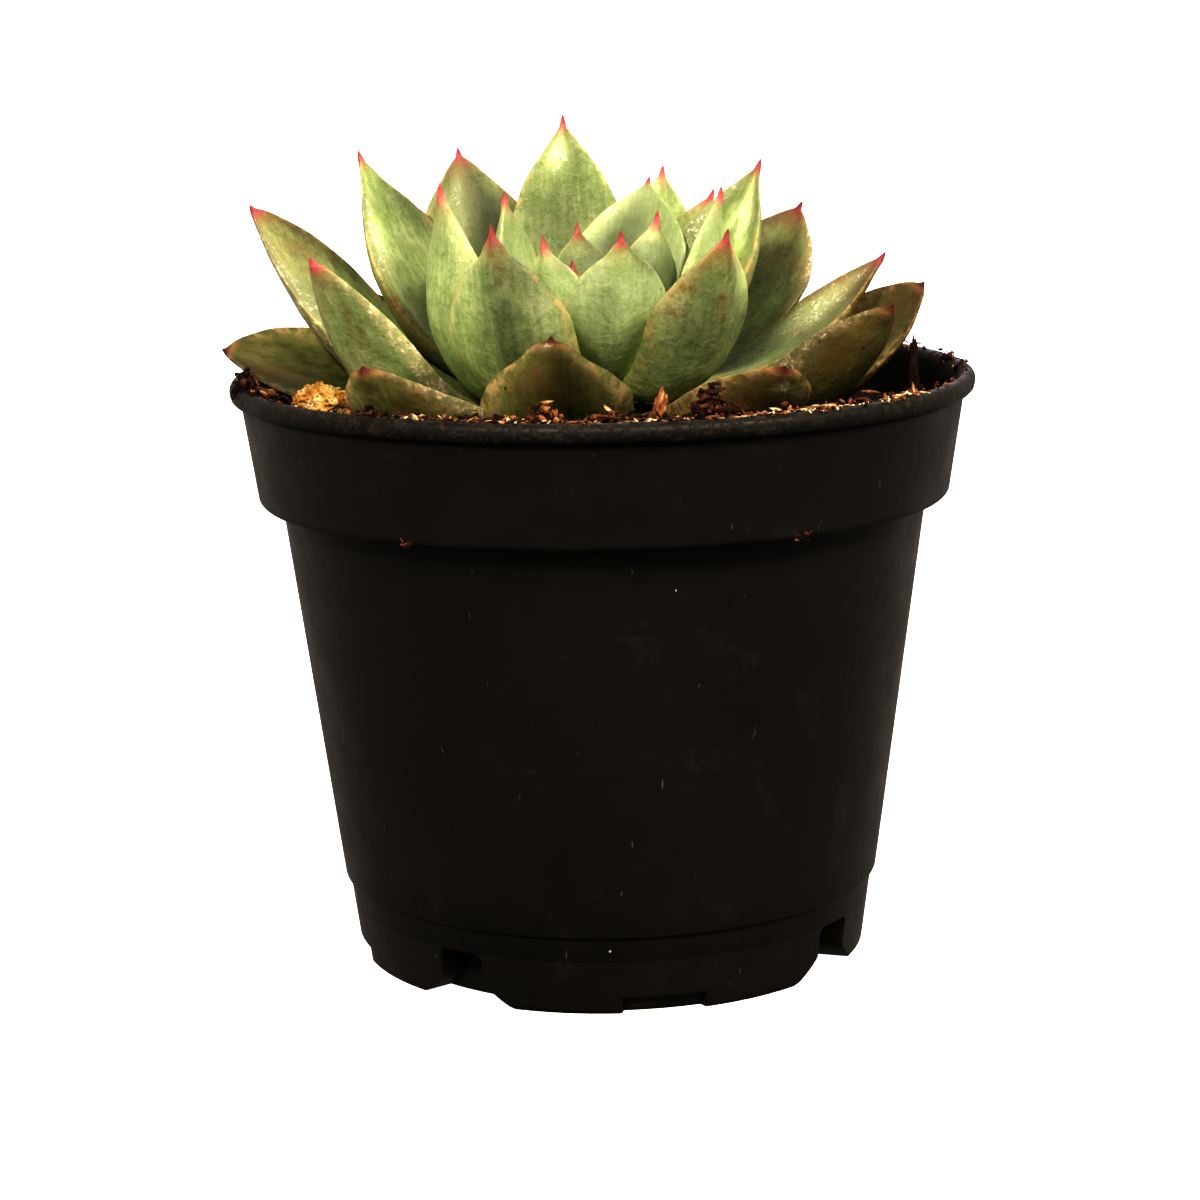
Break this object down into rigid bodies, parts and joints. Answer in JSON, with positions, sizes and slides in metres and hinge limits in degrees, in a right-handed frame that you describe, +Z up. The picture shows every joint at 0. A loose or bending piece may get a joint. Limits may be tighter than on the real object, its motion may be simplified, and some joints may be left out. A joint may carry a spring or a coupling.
{
  "type": "potted echeveria succulent",
  "caption": "Small echeveria rosette with fleshy pointed red-tipped leaves, planted in a round black nursery pot with a wide collar and a notched foot.",
  "frame": {"origin": "on the ground under the middle of the pot's foot", "axes": "+Z up along the pot's axis, +X to the right and -Y to the front as pictured"},
  "size_m": [0.1058, 0.105, 0.1178],
  "materials": {
    "pot_plastic": "satin black thin moulding",
    "soil": "damp peat and coir",
    "stem": "matte",
    "leaf_young": "waxy, pale green with pink-red tips",
    "leaf_green": "waxy, green with pink-red tips",
    "leaf_old": "waxy, olive and brown",
    "porous_grain": "rough, porous",
    "bark": "rough"
  },
  "bodies": {
    "root": {"pot": "pot_plastic", "soil": "soil", "stem": "stem", "heart": "leaf_young", "leaf_01": "leaf_young", "leaf_02": "leaf_young", "leaf_03": "leaf_young", "leaf_04": "leaf_young", "leaf_05": "leaf_young", "leaf_06": "leaf_young", "leaf_07": "leaf_young", "leaf_08": "leaf_green", "leaf_09": "leaf_green", "leaf_10": "leaf_green", "leaf_11": "leaf_green", "leaf_12": "leaf_green", "leaf_13": "leaf_green", "leaf_14": "leaf_green", "leaf_15": "leaf_green", "leaf_16": "leaf_green", "leaf_17": "leaf_green", "leaf_18": "leaf_green", "leaf_19": "leaf_green", "leaf_20": "leaf_green", "leaf_21": "leaf_green", "leaf_22": "leaf_green", "leaf_23": "leaf_old", "leaf_24": "leaf_old", "leaf_25": "leaf_old", "leaf_26": "leaf_old", "leaf_27": "leaf_old", "leaf_28": "leaf_old", "leaf_29": "leaf_old", "leaf_30": "leaf_old", "leaf_31": "leaf_old", "leaf_32": "leaf_old", "porous_grain": "porous_grain", "bark_chip_front": "bark", "bark_chip_right": "bark", "bark_chip_left": "bark"}
  },
  "joints": []
}
